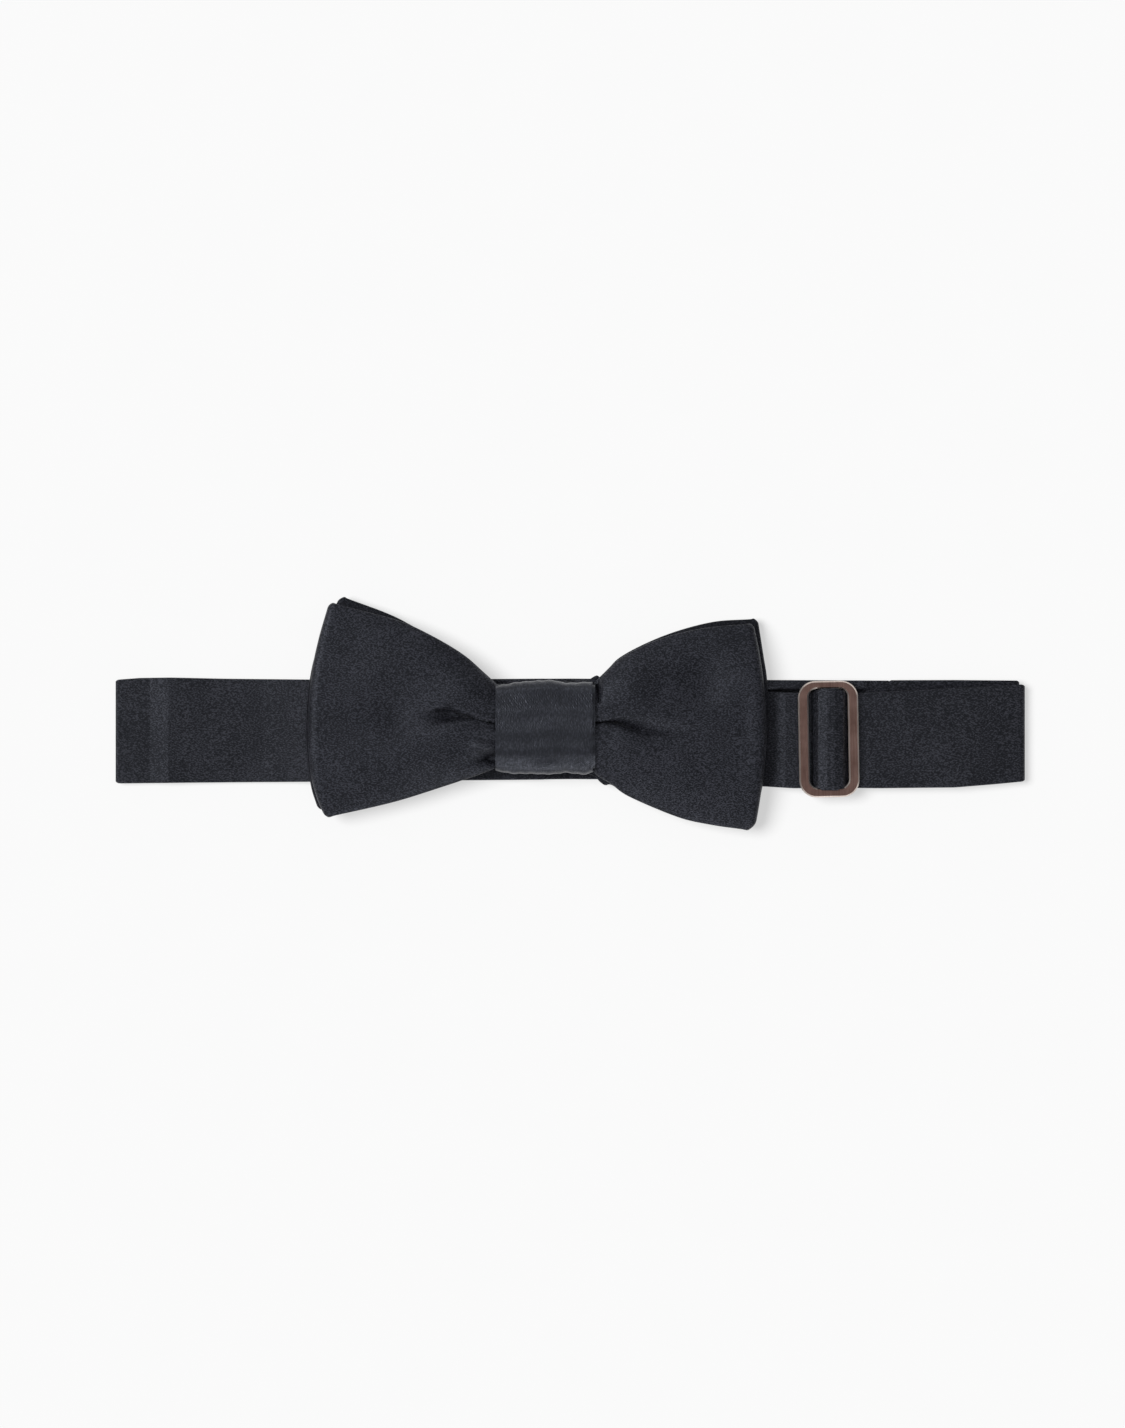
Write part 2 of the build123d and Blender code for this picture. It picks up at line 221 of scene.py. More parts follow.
def ribbon(name, path, low_edge, top_edge, material, seed, thickness=PLY, uneven=0.05, lift=None):
    """A flat ply along path (X and Z), between two edges given as (x, y) points of its plan.
    uneven is the height of its ripples. lift raises parts of it, and is a function of x, y and height."""
    path = np.asarray(path)
    x = path[:, 0]
    low = np.interp(x, *np.array(low_edge, float).T) + thickness / 2
    top = np.interp(x, *np.array(top_edge, float).T) - thickness / 2
    t = dense_at_ends(RIBBON_COLUMNS)[None, :]
    y = low[:, None] + (top - low)[:, None] * t
    run, rise = np.gradient(x), np.gradient(path[:, 1])
    flat = (np.abs(run) > STEEPEST_FLAT * np.hypot(run, rise))[:, None]
    grid = np.empty((len(x), RIBBON_COLUMNS, 3))
    grid[..., 0] = x[:, None] + 0 * y
    grid[..., 1] = y
    z = path[:, 1:2] + uneven * ripple(x[:, None], y, seed) * flat
    if lift:
        z = z + lift(x[:, None], y, path[:, 1:2])
    grid[..., 2] = np.maximum(z, thickness / 2 + FLOOR_GAP)
    return thick_sheet(name, grid, thickness, material)


# ---------------------------------------------------------------- materials


def nodes_of(material):
    material.use_nodes = True
    tree = material.node_tree
    shader = tree.nodes["Principled BSDF"]
    return tree, tree.nodes, tree.links, shader


def add_node(tree, kind, **inputs):
    node = tree.nodes.new(kind)
    for key, value in inputs.items():
        node.inputs[key.replace("_", " ")].default_value = value
    return node


def satin(name, dark, light, roughness, specular, sheen, grain_angle, stretch=(1, 1.8, 1)):
    """Satin: short slanted threads that catch the light, over a slow change of tone."""
    material = bpy.data.materials.new(name)
    tree, nodes, links, shader = nodes_of(material)
    place = nodes.new("ShaderNodeTexCoord")
    turn = nodes.new("ShaderNodeMapping")
    turn.inputs["Rotation"].default_value = (0, 0, grain_angle)
    turn.inputs["Scale"].default_value = stretch
    links.new(place.outputs["Object"], turn.inputs["Vector"])

    grain = add_node(tree, "ShaderNodeTexNoise", Scale=2000.0, Detail=1.5, Roughness=0.6)
    links.new(turn.outputs["Vector"], grain.inputs["Vector"])
    threads = add_node(tree, "ShaderNodeTexWave", Scale=900.0, Distortion=2.0)
    threads.inputs["Detail"].default_value = 1.0
    threads.inputs["Detail Scale"].default_value = 2.0
    threads.bands_direction = "DIAGONAL"
    links.new(place.outputs["Object"], threads.inputs["Vector"])
    tone = add_node(tree, "ShaderNodeTexNoise", Scale=70.0, Detail=3.0, Roughness=0.55)
    links.new(place.outputs["Object"], tone.inputs["Vector"])

    mix = nodes.new("ShaderNodeMix")
    mix.data_type = "FLOAT"
    mix.inputs[0].default_value = 0.16
    links.new(grain.outputs["Fac"], mix.inputs[2])
    links.new(tone.outputs["Fac"], mix.inputs[3])
    ramp = nodes.new("ShaderNodeValToRGB")
    ramp.color_ramp.elements[0].position = 0.465
    ramp.color_ramp.elements[0].color = (*dark, 1)
    ramp.color_ramp.elements[1].position = 0.59
    ramp.color_ramp.elements[1].color = (*light, 1)
    links.new(mix.outputs[0], ramp.inputs["Fac"])
    links.new(ramp.outputs["Color"], shader.inputs["Base Color"])

    rough = nodes.new("ShaderNodeMapRange")
    rough.inputs["From Min"].default_value = 0.35
    rough.inputs["From Max"].default_value = 0.65
    rough.inputs["To Min"].default_value = roughness + 0.1
    rough.inputs["To Max"].default_value = roughness - 0.08
    links.new(grain.outputs["Fac"], rough.inputs["Value"])
    links.new(rough.outputs["Result"], shader.inputs["Roughness"])

    fine = add_node(tree, "ShaderNodeBump", Strength=0.25, Distance=0.00006)
    links.new(threads.outputs["Fac"], fine.inputs["Height"])
    coarse = add_node(tree, "ShaderNodeBump", Strength=0.8, Distance=0.00014)
    links.new(grain.outputs["Fac"], coarse.inputs["Height"])
    links.new(fine.outputs["Normal"], coarse.inputs["Normal"])
    links.new(coarse.outputs["Normal"], shader.inputs["Normal"])

    shader.inputs["Specular IOR Level"].default_value = specular
    shader.inputs["Specular Tint"].default_value = (0.80, 0.85, 1.0, 1)
    shader.inputs["Sheen Weight"].default_value = sheen
    shader.inputs["Sheen Roughness"].default_value = 0.35
    shader.inputs["Sheen Tint"].default_value = (0.8, 0.82, 0.92, 1)
    return material


BRUSH_SCALE = (3000, 160, 400)


def brushed_metal(name, dark, light, roughness):
    """Plated metal with fine brush marks along Y and a few darker stains."""
    material = bpy.data.materials.new(name)
    tree, nodes, links, shader = nodes_of(material)
    place = nodes.new("ShaderNodeTexCoord")
    stretch = nodes.new("ShaderNodeMapping")
    stretch.inputs["Scale"].default_value = BRUSH_SCALE
    links.new(place.outputs["Object"], stretch.inputs["Vector"])
    brush = add_node(tree, "ShaderNodeTexNoise", Scale=1.0, Detail=4.0, Roughness=0.6)
    links.new(stretch.outputs["Vector"], brush.inputs["Vector"])
    stain = add_node(tree, "ShaderNodeTexNoise", Scale=260.0, Detail=3.0, Roughness=0.6)
    links.new(place.outputs["Object"], stain.inputs["Vector"])
    mix = nodes.new("ShaderNodeMix")
    mix.data_type = "FLOAT"
    mix.inputs[0].default_value = 0.45
    links.new(brush.outputs["Fac"], mix.inputs[2])
    links.new(stain.outputs["Fac"], mix.inputs[3])
    ramp = nodes.new("ShaderNodeValToRGB")
    ramp.color_ramp.elements[0].position = 0.32
    ramp.color_ramp.elements[0].color = (*dark, 1)
    ramp.color_ramp.elements[1].position = 0.7
    ramp.color_ramp.elements[1].color = (*light, 1)
    links.new(mix.outputs[0], ramp.inputs["Fac"])
    links.new(ramp.outputs["Color"], shader.inputs["Base Color"])
    bump = add_node(tree, "ShaderNodeBump", Strength=0.25, Distance=0.00003)
    links.new(brush.outputs["Fac"], bump.inputs["Height"])
    links.new(bump.outputs["Normal"], shader.inputs["Normal"])
    shader.inputs["Metallic"].default_value = 1.0
    shader.inputs["Roughness"].default_value = roughness
    return material


bow_satin = satin(
    "bow_satin", (0.0018, 0.0020, 0.0030), (0.0285, 0.0295, 0.0375),
    roughness=0.46, specular=0.23, sheen=0.04, grain_angle=0.7,
)
# A darker copy of bow_satin for the back bow layer: painted shade, because that layer lies under the front
# one
bow_painted_shade = satin(
    "bow_painted_shade", (0.0015, 0.0017, 0.0025), (0.0165, 0.0172, 0.022),
    roughness=0.52, specular=0.17, sheen=0.03, grain_angle=0.7,
)
band_satin = satin(
    "band_satin", (0.0022, 0.0024, 0.0033), (0.0285, 0.0293, 0.0363),
    roughness=0.46, specular=0.23, sheen=0.04, grain_angle=0.5,
)
band_reverse = satin(
    "band_reverse", (0.0020, 0.0021, 0.0030), (0.022, 0.0225, 0.029),
    roughness=0.6, specular=0.18, sheen=0.03, grain_angle=0.5,
)
knot_satin = satin(
    "knot_satin", (0.0022, 0.0024, 0.0034), (0.015, 0.0158, 0.021),
    roughness=0.36, specular=0.45, sheen=0.10, grain_angle=0.0, stretch=(1.4, 0.5, 1),
)
thread = satin(
    "thread", (0.018, 0.018, 0.024), (0.04, 0.04, 0.05),
    roughness=0.6, specular=0.3, sheen=0.1, grain_angle=0.0,
)
bronze = brushed_metal("bronze", (0.10, 0.058, 0.049), (0.20, 0.128, 0.110), roughness=0.42)
# The bevels' metal is far lighter than the frame's bronze: a painted highlight along the slider's edges
bevel_highlight_metal = brushed_metal("bevel_highlight_metal", (0.58, 0.49, 0.44), (0.88, 0.78, 0.72), roughness=0.36)
hook_metal = brushed_metal("hook_metal", (0.10, 0.052, 0.04), (0.2, 0.11, 0.085), roughness=0.38)


# ---------------------------------------------------------------- the bow

BOW_PLY = 0.9
EDGE = BOW_PLY / 2
WING_ROWS = 84
WING_COLUMNS = 96
FOLD_STEPS = 9

# Each wing's plan: its upper and lower edges from the knot, its fold from the lower to the upper corner, the
# radii of those corners, and how far the outline is drawn in from these points
FRONT_BOW = {
    "left": {
        "top": [
            (-19.0, 7.4), (-22.6, 10.7), (-27.8, 15.2), (-35.5, 19.8), (-44.1, 23.8), (-53.5, 26.5),
            (-62.6, 28.9),
        ],
        "low": [
            (-19.0, -13.6), (-20.4, -14.2), (-24.0, -15.6), (-28.2, -17.0), (-32.4, -18.4), (-45.9, -22.6),
            (-63.6, -26.8),
        ],
        "fold": [
            (-63.6, -26.8), (-65.6, -22.0), (-67.3, -15.0), (-67.9, -4.0), (-67.1, 9.5), (-65.3, 19.2),
            (-62.6, 28.9),
        ],
        "corners": (1.0, 1.1),
        "edge": 0.2,
    },
    "right": {
        "top": [
            (5.0, 6.6), (8.6, 10.2), (13.0, 14.2), (20.0, 18.0), (28.5, 20.8), (37.4, 22.5), (47.7, 23.4),
        ],
        "low": [
            (5.0, -13.6), (7.6, -16.1), (10.8, -18.0), (15.7, -21.4), (28.7, -26.7), (38.5, -28.9),
            (47.9, -30.3),
        ],
        "fold": [
            (47.9, -30.3), (48.7, -26.0), (49.6, -20.0), (50.6, -12.0), (50.9, -4.0), (50.4, 6.0),
            (49.3, 15.0), (47.7, 23.4),
        ],
        "corners": (2.4, 1.0),
        "edge": 0.3,
    },
}
BACK_BOW = {
    "left": {
        "top": [(-19.0, 7.6), (-27.8, 14.6), (-36.0, 19.6), (-46.4, 25.4), (-59.9, 30.7)],
        "low": [(-19.0, -12.6), (-32.4, -17.6), (-45.9, -21.0), (-65.6, -24.8)],
        "fold": [(-65.6, -24.8), (-67.6, -17.5), (-68.6, -4.0), (-67.6, 9.5), (-64.8, 20.0), (-59.9, 30.7)],
        "corners": (0.9, 1.4),
        "edge": 0.2,
    },
    "right": {
        "top": [(4.6, 8.6), (6.9, 9.9), (8.6, 9.6), (13.0, 14.6), (24.3, 20.1), (37.4, 23.8), (48.9, 24.8)],
        "low": [
            (4.6, -15.4), (6.6, -16.2), (7.9, -17.6), (9.2, -18.4), (10.8, -18.3), (15.7, -21.0),
            (28.7, -26.2), (47.2, -29.4),
        ],
        "fold": [
            (47.2, -29.4), (49.2, -22.9), (51.0, -13.0), (51.7, -3.0), (51.3, 8.4), (50.3, 15.5),
            (48.9, 24.8),
        ],
        "corners": (2.4, 1.2),
        "edge": 0.3,
    },
}
EDGE_SAMPLES = 400
FOLD_SAMPLES = 200
ROW_CROWDING = 1.25
CORNER_PULL = 0.6


def wing_plan(shape, rows, t, fold_reach):
    """The wing's plan as a grid from the knot (row 0) to its fold, and the way out of it at the fold.
    Rows lie closer together near the knot, and the fold's two corners are rounded."""
    share = np.linspace(0, 1, rows) ** ROW_CROWDING
    fine = np.linspace(0, 1, EDGE_SAMPLES)
    top, low = (
        np.stack([np.interp(share, fine, column) for column in curve_through(edge, EDGE_SAMPLES).T], axis=1)
        for edge in (shape["top"], shape["low"])
    )
    fold = curve_through(shape["fold"], FOLD_SAMPLES)
    fold_t = (fold - fold[0]) @ (fold[-1] - fold[0]) / np.sum((fold[-1] - fold[0]) ** 2)
    fold = np.stack([np.interp(t, fold_t, fold[:, k]) for k in range(2)], axis=1)
    ruled = low[:, None] + (top - low)[:, None] * t[None, :, None]
    ahead = share[:, None, None]
    plan = ruled + ahead**2 * (fold - ruled[-1])[None]
    width = np.linalg.norm(plan[:, -1] - plan[:, 0], axis=1)
    squeeze = 1 - 2 * shape["edge"] / width
    middle = (plan[:, -1] + plan[:, 0]) / 2
    plan = middle[:, None] + (plan - middle[:, None]) * squeeze[:, None, None]
    outward = unit(plan[-1] - plan[-4])
    pull = np.zeros(len(t))
    for radius, inset in zip(shape["corners"], (t * width[-1], (1 - t) * width[-1])):
        missing = np.clip(radius - inset, 0, radius)
        pull += CORNER_PULL * radius * (missing / radius) ** 2
    reach = (fold_reach + EDGE + pull)[None, :, None]
    return plan - ahead**3 * outward[None] * reach, outward, share


def valley(x, y, line, depth, width, far_width, power):
    """How far a crease sinks at each place. It is deepest at the first point of its line."""
    line = np.array(line, float)
    lengths = np.linalg.norm(np.diff(line, axis=0), axis=1)
    total, done = lengths.sum(), 0.0
    best, share = np.full(x.shape, 1e9), np.zeros(x.shape)
    for a, b, length in zip(line, line[1:], lengths):
        d = (b - a) / length
        s = np.clip((x - a[0]) * d[0] + (y - a[1]) * d[1], 0, length)
        away = np.hypot(x - a[0] - s * d[0], y - a[1] - s * d[1])
        near = away < best
        best = np.where(near, away, best)
        share = np.where(near, (done + s) / total, share)
        done += length
    spread = width + (far_width - width) * share
    return depth * (1 - share) ** power * np.exp(-((best / spread) ** 2))


def bump(x, y, place, height, size_x, size_y):
    """A soft round rise about a place, or a hollow if its height is negative."""
    return height * np.exp(-(((x - place[0]) / size_x) ** 2) - ((y - place[1]) / size_y) ** 2)


LEAST_POCKET_WIDTH = 0.5
LEAST_WALL = 0.35


def pocket(x, y, upper, lower, depths, upper_wall, lower_wall):
    """How far the cloth sinks between two edges that run out from the knot.
    Each wall is a share of the width between them."""
    high, low = along(x, upper), along(x, lower)
    width = np.maximum(high - low, LEAST_POCKET_WIDTH)
    upper_side = smooth((high - y) / np.maximum(width * upper_wall, LEAST_WALL))
    lower_side = smooth((y - low) / np.maximum(width * lower_wall, LEAST_WALL))
    return along(x, depths) * upper_side * lower_side


# The dimple of each wing: its upper and lower edges, its depth along X, and its walls as shares of its width
LEFT_POCKET_HIGH = [
    (-50, 1.0), (-37.5, 1.5), (-33.5, 2.1), (-31.3, 1.9), (-28.7, 1.0), (-24.8, -0.6), (-19.9, -2.0),
    (-17, -2.7),
]
LEFT_POCKET_LOW = [
    (-50, -3.4), (-36.5, -3.4), (-32.0, -2.9), (-28.7, -2.1), (-25.0, -1.7), (-22.8, -2.0), (-19.9, -3.1),
    (-17, -4.0),
]
LEFT_POCKET_DEPTH = [(-52, 0.0), (-42, 0.0), (-37, 0.7), (-33, 2.2), (-29, 3.4), (-25, 3.9), (-17, 3.9)]
LEFT_POCKET_WALLS = (0.16, 0.4)
RIGHT_POCKET_HIGH = [
    (3, -1.3), (7.5, -1.6), (11.1, -0.8), (13.0, -0.4), (18.9, -0.1), (27.0, -1.0), (38.0, -3.0),
]
RIGHT_POCKET_LOW = [
    (3, -2.9), (7.5, -2.9), (9.1, -2.8), (11.7, -3.2), (15.7, -5.0), (19.6, -6.2), (24.1, -6.5),
    (31.0, -6.0), (38.0, -5.5),
]
RIGHT_POCKET_DEPTH = [
    (3, 3.4), (8, 3.3), (12, 2.8), (16, 2.2), (21, 1.6), (28, 0.9), (36, 0.2), (42, 0.0), (60, 0.0),
]
RIGHT_POCKET_WALLS = (0.8, 0.3)

# Ridges that run along the dimples' edges: height, distance above the edge, width
LEFT_UPPER_RIDGE = (0.45, 1.0, 1.4)
LEFT_LOWER_RIDGE = (0.55, -1.5, 1.9)
RIGHT_LOWER_RIDGE = (0.5, -1.5, 2.0)

# Creases: line from the deepest end, depth, width there, width at the far end, how early the depth fades
CREASES = [
    ([(-19.0, -2.2), (-30.0, 0.0), (-45.0, 1.5), (-60.0, 3.0)], 1.2, 2.6, 7.0, 0.8),
    ([(5.0, -2.0), (16.0, -3.5), (30.0, -6.2), (44.0, -7.0)], 1.2, 2.4, 6.0, 0.9),
    ([(-20.0, -11.4), (-24.5, -12.0), (-30.0, -13.6)], 0.8, 0.9, 1.6, 0.9),
    ([(6.9, 9.4), (7.3, 6.0), (7.6, 2.5)], 3.0, 0.9, 0.5, 0.5),
]

# Rises and hollows: place, height, reach in X, reach in Y
SWELLS = [
    ((-20.0, -11.3), -2.6, 2.4, 1.35),
    ((-21.4, -8.3), 1.8, 3.4, 1.3),
    ((-26.5, 6.5), 0.9, 6.0, 4.0),
    ((-38.0, -11.5), 0.6, 10.0, 5.0),
    ((-45.0, 1.0), -1.8, 7.0, 6.0),
    ((16.5, 7.0), 1.2, 7.5, 5.5),
    ((34.5, 7.5), -1.8, 6.5, 7.0),
    ((51.5, -2.0), -1.7, 5.5, 9.0),
]


def ridge(x, y, edge, height, above, width):
    """A low ridge that follows an edge."""
    return height * np.exp(-(((y - along(x, edge) - above) / width) ** 2))


def front_relief(x, y):
    """Creases and fullness of the front ply, in millimetres."""
    on_left, on_right = x < -10, x > 0
    left_fade = rise(x, -42, -28) * on_left
    right_fade = rise(x, 30, 12) * on_right
    left_pocket = pocket(x, y, LEFT_POCKET_HIGH, LEFT_POCKET_LOW, LEFT_POCKET_DEPTH, *LEFT_POCKET_WALLS)
    right_pocket = pocket(x, y, RIGHT_POCKET_HIGH, RIGHT_POCKET_LOW, RIGHT_POCKET_DEPTH, *RIGHT_POCKET_WALLS)
    z = -left_pocket * on_left - right_pocket * on_right
    z += left_fade * ridge(x, y, LEFT_POCKET_HIGH, *LEFT_UPPER_RIDGE)
    z += left_fade * ridge(x, y, LEFT_POCKET_LOW, *LEFT_LOWER_RIDGE)
    z += right_fade * ridge(x, y, RIGHT_POCKET_LOW, *RIGHT_LOWER_RIDGE)
    for crease in CREASES:
        z -= valley(x, y, *crease)
    for swell in SWELLS:
        z += bump(x, y, *swell)
    return z


WING_MIDDLE_Y = -4.0
DROOP_RUN = (12, 30)


def bow_layer(
    name, cloth, shapes, knot_z, fold_z, fold_radius, fullness, edge_gap, knot_gap, seed, relief=None
):
    """One bow layer: a flat satin tube that runs out to both folds and back, as one closed loop.
    knot_z and fold_z are its back ply's heights. The gaps and the fullness lie between its two plies.
    relief is a function of x and y that shapes its front ply."""
    t = dense_at_ends(WING_COLUMNS, 0.45)
    crown = (1 - np.abs(2 * t - 1) ** 2.6) ** 0.8
    radius = 0.55 * fold_radius + 0.45 * fold_radius * crown
    wings = []
    for side in ("left", "right"):
        plan, outward, share = wing_plan(shapes[side], WING_ROWS, t, radius)
        x, y = plan[..., 0], plan[..., 1]
        u = share[:, None]
        near_knot, near_fold = 1 - rise(u, 0, 0.3), rise(u, 0.55, 1)
        middle = edge_gap + (fullness - edge_gap) * crown[None, :]
        gap = (near_knot * knot_gap * (0.35 + 0.65 * crown[None, :]) + near_fold * 2 * radius[None, :]
               + (1 - near_knot - near_fold) * middle)
        droop = rise(np.abs(y - WING_MIDDLE_Y), *DROOP_RUN) * u
        base = knot_z + (fold_z - knot_z) * smooth(u) - droop
        back = base + 0.06 * ripple(x, y, seed + 5)
        front = base + gap
        if relief:
            fade = rise(u, 1, 0.9) * rise(np.abs(2 * t - 1), 1, 0.94)[None, :]
            front = front + relief(x, y) * np.maximum(fade, 0.15)
            front = np.maximum(front, back + BOW_PLY * 0.98)
        front = front + 0.09 * ripple(x, y, seed) * (1 - rise(u, 0.85, 1))
        arc = []
        for k in range(1, FOLD_STEPS):
            a = math.pi * k / FOLD_STEPS
            half = (front[-1] - back[-1]) / 2
            middle_z = (front[-1] + back[-1]) / 2
            place = plan[-1] + outward * (radius * math.sin(a))[:, None]
            arc.append(np.column_stack([place, middle_z + half * math.cos(a)]))
        wings.append((np.dstack([x, y, front]), np.array(arc), np.dstack([x, y, back])))
    left, right = wings
    loop = np.concatenate([left[0], left[1], left[2][::-1], right[2], right[1][::-1], right[0][::-1]])
    return thick_sheet(name, loop[:, ::-1], BOW_PLY, cloth, loop=True)


# The back layer wears the darker satin copy, which is painted shade
bow_back = bow_layer(
    "bow_back_satin", bow_painted_shade, BACK_BOW, knot_z=3.35, fold_z=3.35, fold_radius=0.75,
    fullness=1.25, edge_gap=1.0, knot_gap=1.2, seed=11,
)
bow_front = bow_layer(
    "bow_front_satin", bow_satin, FRONT_BOW, knot_z=5.55, fold_z=5.1, fold_radius=1.9,
    fullness=4.6, edge_gap=1.3, knot_gap=4.2, seed=3, relief=front_relief,
)

for piece, nodes in (
    (bow_back, ("back_bow_shell", "back_bow_interlining")),
    (bow_front, ("front_bow_shell", "front_bow_interlining")),
):
    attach(piece, "bow_and_band")
    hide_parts(*nodes)


# ---------------------------------------------------------------- the knot

KNOT_TOP = [
    (-21, 7.3), (-19.3, 7.4), (-16.2, 7.8), (-14.1, 8.2), (-11.0, 8.5), (-6.3, 8.75), (-4.2, 8.75),
    (-2.1, 8.25), (0.5, 8.1), (3.7, 8.3), (5.7, 8.35), (8, 8.3),
]
KNOT_LOW = [
    (-21, -14.4), (-19.5, -14.7), (-16.7, -15.2), (-14.6, -15.5), (-10.4, -15.5), (-5.7, -15.65),
    (-2.6, -15.4), (-1.0, -15.2), (1.6, -15.5), (4.2, -15.65), (5.7, -15.1), (8, -14.9),
]
KNOT_PLY = 0.5
KNOT_MIDDLE_Z = 6.35
KNOT_HALF_Z = 4.9
KNOT_ROUNDING = 0.7
KNOT_FACE_Z = (8, 9)
RIM_PHASE = 0.6


def knot_strip(name, left_x, right_x, shrink):
    """The wrap as a closed strip round the pinch. Its section is a flattened rounded loop in Y and Z,
    drawn in by shrink. Waves across the wrap's face give it soft horizontal folds."""
    rows, columns = 200, 64
    angle = np.linspace(0, 2 * math.pi, rows, endpoint=False)[:, None]
    across = dense_at_ends(columns, 0.4)[None, :]
    x = left_x + (right_x - left_x) * across + 0 * angle
    top, low = along(x, KNOT_TOP), along(x, KNOT_LOW)
    half_y = (top - low - KNOT_PLY) / 2 - shrink
    c, s = np.cos(angle), np.sin(angle)
    rim = 0.07 * np.sin(x * 2.1 + RIM_PHASE) * rise(np.abs(c), 0.8, 1)
    y = (top + low) / 2 + (half_y + rim) * np.sign(c) * np.abs(c) ** KNOT_ROUNDING
    z = KNOT_MIDDLE_Z + (KNOT_HALF_Z - shrink) * np.sign(s) * np.abs(s) ** KNOT_ROUNDING
    waves = 0.10 * np.sin(y * 1.15 + 0.35 * np.sin(x * 0.35)) + 0.07 * ripple(x, y, 31, 7.0)
    grid = np.dstack([x, y, z + waves * rise(z, *KNOT_FACE_Z)])
    return thick_sheet(name, grid, KNOT_PLY, knot_satin, loop=True, edge_steps=0)


knot = knot_strip("knot_wrap_satin", KNOT_LEFT_X + 0.25, KNOT_RIGHT_X - 0.1, shrink=0.0)
knot_under = knot_strip("knot_under_turn", KNOT_LEFT_X + 1.4, KNOT_RIGHT_X + 0.55, shrink=0.75)
for piece, node in ((knot, "knot_wrap"), (knot_under, "knot_wrap_interlining")):
    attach(piece, "bow_and_band")
    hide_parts(node)


# ---------------------------------------------------------------- the neck band

FOLD_CORNER = [(118.5, 0.7), (118.2, 0.35), (117.85, 0.1), (117.4, 0.0)]


def with_corners(edge, side, way):
    """An edge whose end on one side (-1 or 1) turns in round the corner of a fold.
    way is 1 if the cloth lies above the edge, and -1 if below."""
    corner = [(side * x, edge[0 if side < 0 else -1][1] + way * inset) for x, inset in FOLD_CORNER]
    return corner + edge[1:] if side < 0 else edge[:-1] + corner[::-1]


BAND_LOW = with_corners([(-119, -18.1), (-100, -17.9), (-60, -17.6), (0, -17.0), (84, -17.5)], -1, 1)
BAND_TOP = with_corners(
    [(-119, 9.0), (-112, 9.4), (-104, 9.5), (-90, 9.2), (-60, 8.9), (0, 9.25), (60, 8.8), (84, 8.7)], -1, -1
)
STRAP_LOW = with_corners(
    [
        (-7, -12.8), (6.5, -13.2), (16, -17.6), (51, -18.9), (58, -19.3), (62.6, -19.3), (63.4, -19.2),
        (64.8, -19.5), (65.3, -19.8), (69.4, -19.8), (69.9, -19.5), (71.2, -19.2), (71.8, -19.2),
        (80, -19.3), (100, -19.1), (110, -18.3), (119, -17.6),
    ],
    1, 1,
)
STRAP_TOP = with_corners(
    [
        (-7, 4.8), (6.5, 5.2), (16, 6.8), (51, 5.9), (60, 5.5), (62.6, 5.6), (63.4, 6.0), (64.8, 6.4),
        (65.3, 6.7), (69.4, 6.7), (69.9, 6.4), (71.2, 6.0), (71.8, 5.6), (76, 5.5), (91, 6.3), (107, 7.1),
        (119, 7.7),
    ],
    1, -1,
)
INNER_LOW = [(60, -18.0), (85, -17.2), (116.3, -16.6), (116.9, -16.2)]
INNER_TOP = [(60, 5.6), (79, 6.2), (83.4, 8.8), (100, 8.85), (116.3, 8.7), (116.9, 8.2)]


def raised_edge(x, y, z):
    """The band's upper edge stands up between the bow and its turned end, and along that end."""
    between = rise(x, 47, 51) * rise(x, 81, 77)
    back_ply = (1.1 + 1.4 * rise(x, 72, 66)) * rise(y, 5.9, 6.6) * between
    turned_end = 0.8 * rise(y, 5.8, 7.0) * rise(x, 79, 76)
    on_back, on_turned_end = z < 0.5, (z > 2.0) * (x > 60)
    return back_ply * on_back + turned_end * on_turned_end


left_fold_x = -HALF_LENGTH + PLY / 2
fixed_band = ribbon(
    "fixed_band_satin",
    rounded_path(
        [
            (-6.8, LEFT_FACE_Z + 0.2), (-24, LEFT_FACE_Z), (-68, LEFT_FACE_Z), (-80, LEFT_FACE_Z - 1.0),
            (-94, LEFT_FACE_Z - 0.7), (-104.5, LEFT_FACE_Z + 0.1), (-109.5, LEFT_FACE_Z - 0.75),
            (left_fold_x, LEFT_FACE_Z - 0.6), (left_fold_x, BACK_Z), (82.9, BACK_Z), (82.9, TURNED_Z),
            (70.5, TURNED_Z),
        ],
        0.5,
    ),
    BAND_LOW, BAND_TOP, band_satin, seed=21, lift=raised_edge,
)
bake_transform(fixed_band)
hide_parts("fixed_band", "fixed_band_span", "fixed_band_end")

front_strap = ribbon(
    "front_strap_satin",
    rounded_path([(-6.2, LEFT_FACE_Z), (50.0, LEFT_FACE_Z), (56.0, FACE_Z), (60.9, FACE_Z)], 2.5),
    STRAP_LOW, STRAP_TOP, band_satin, seed=22,
)
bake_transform(front_strap)
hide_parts("strap_start", "strap_front_span")

arch_z = SLIDER_LOW_Z + 2.0
bridge = ribbon(
    "strap_over_bar_satin",
    rounded_path(
        [
            (60.2, FACE_Z), (62.9, FACE_Z - 0.6), (64.5, arch_z - 0.5), (66.6, arch_z + 0.1),
            (68.6, arch_z + 0.2), (70.6, arch_z - 0.4), (72.2, FACE_Z), (74.2, FACE_Z),
        ],
        0.7, step=0.3,
    ),
    STRAP_LOW, STRAP_TOP, band_satin, seed=22,
)
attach(bridge, "slider")
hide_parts("strap_over_bar")

right_fold_x = HALF_LENGTH - PLY / 2
right_strap = ribbon(
    "right_strap_satin",
    rounded_path(
        [
            (73.5, FACE_Z), (104, FACE_Z + 0.1), (right_fold_x, FACE_Z - 0.6), (right_fold_x, BACK_Z),
            (112.0, BACK_Z),
        ],
        1.3,
    ),
    STRAP_LOW, STRAP_TOP, band_satin, seed=23,
)
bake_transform(right_strap)
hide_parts("strap_face_span", "strap_right_fold")

back_strap = ribbon(
    "back_strap_satin",
    [(x, BACK_Z + 0.02) for x in np.arange(113.0, 99.5, -0.6)],
    [(90, -17.2), (119, -17.3)], [(90, 7.5), (119, 7.5)], band_satin, seed=24,
)
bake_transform(back_strap)
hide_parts("strap_back_span")

